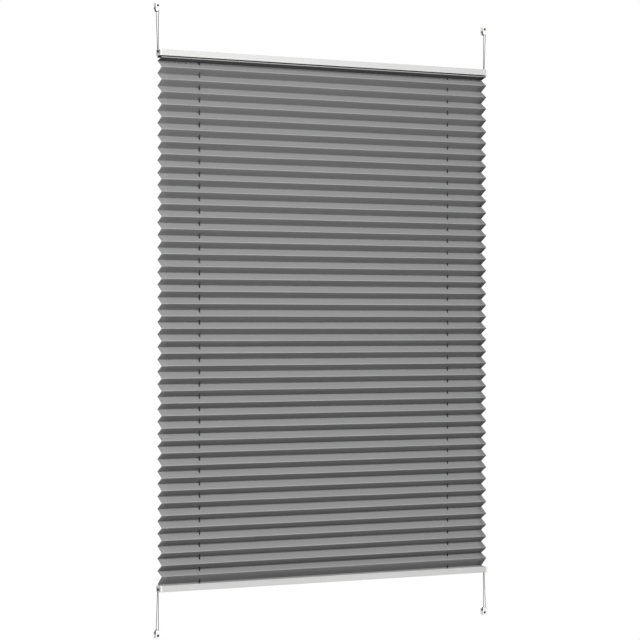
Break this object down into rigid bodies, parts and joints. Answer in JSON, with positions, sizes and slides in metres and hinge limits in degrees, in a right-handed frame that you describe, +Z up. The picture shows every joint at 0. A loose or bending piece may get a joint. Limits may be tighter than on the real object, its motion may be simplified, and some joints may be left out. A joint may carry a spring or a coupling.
{
  "type": "pleated blind",
  "caption": "Pleated window blind held by tensioned cords; the top and bottom rails both slide to open it from above or below.",
  "frame": {"origin": "middle of the blind, half way between the upper and lower tension shoes and between its two sides", "axes": "+Z up, +X along the rails to the right, -Y towards the room, +Y towards the window"},
  "size_m": [0.761, 0.0192, 1.21],
  "materials": {
    "white_aluminium": "satin powder coat",
    "white_plastic": "moulded, fine satin",
    "clear_plastic": "extruded, satin",
    "grey_fabric": "pleated woven polyester",
    "grey_cord": "braided polyester"
  },
  "bodies": {
    "shoes_and_fabric": {"top_left_tension_shoe": "white_plastic", "top_right_tension_shoe": "white_plastic", "bottom_left_tension_shoe": "white_plastic", "bottom_right_tension_shoe": "white_plastic", "pleated_fabric": "grey_fabric", "left_cord": "grey_cord", "right_cord": "grey_cord"},
    "upper_rail": {"top_rail": "white_aluminium", "top_left_end_cap": "white_plastic", "top_right_end_cap": "white_plastic", "top_fabric_strip": "clear_plastic", "top_left_cord_guide": "white_plastic", "top_right_cord_guide": "white_plastic"},
    "lower_rail": {"bottom_rail": "white_aluminium", "bottom_left_end_cap": "white_plastic", "bottom_right_end_cap": "white_plastic", "bottom_fabric_strip": "clear_plastic", "bottom_left_cord_guide": "white_plastic", "bottom_right_cord_guide": "white_plastic"}
  },
  "joints": [
    {"name": "top_rail_slide", "type": "slide", "parent": "shoes_and_fabric", "child": "upper_rail", "axis": [0, 0, 1], "range_m": [-0.48, 0.07], "deforming": ["pleated_fabric", "left_cord", "right_cord"]},
    {"name": "bottom_rail_slide", "type": "slide", "parent": "shoes_and_fabric", "child": "lower_rail", "axis": [0, 0, 1], "range_m": [-0.07, 0.48], "deforming": ["pleated_fabric", "left_cord", "right_cord"]}
  ]
}
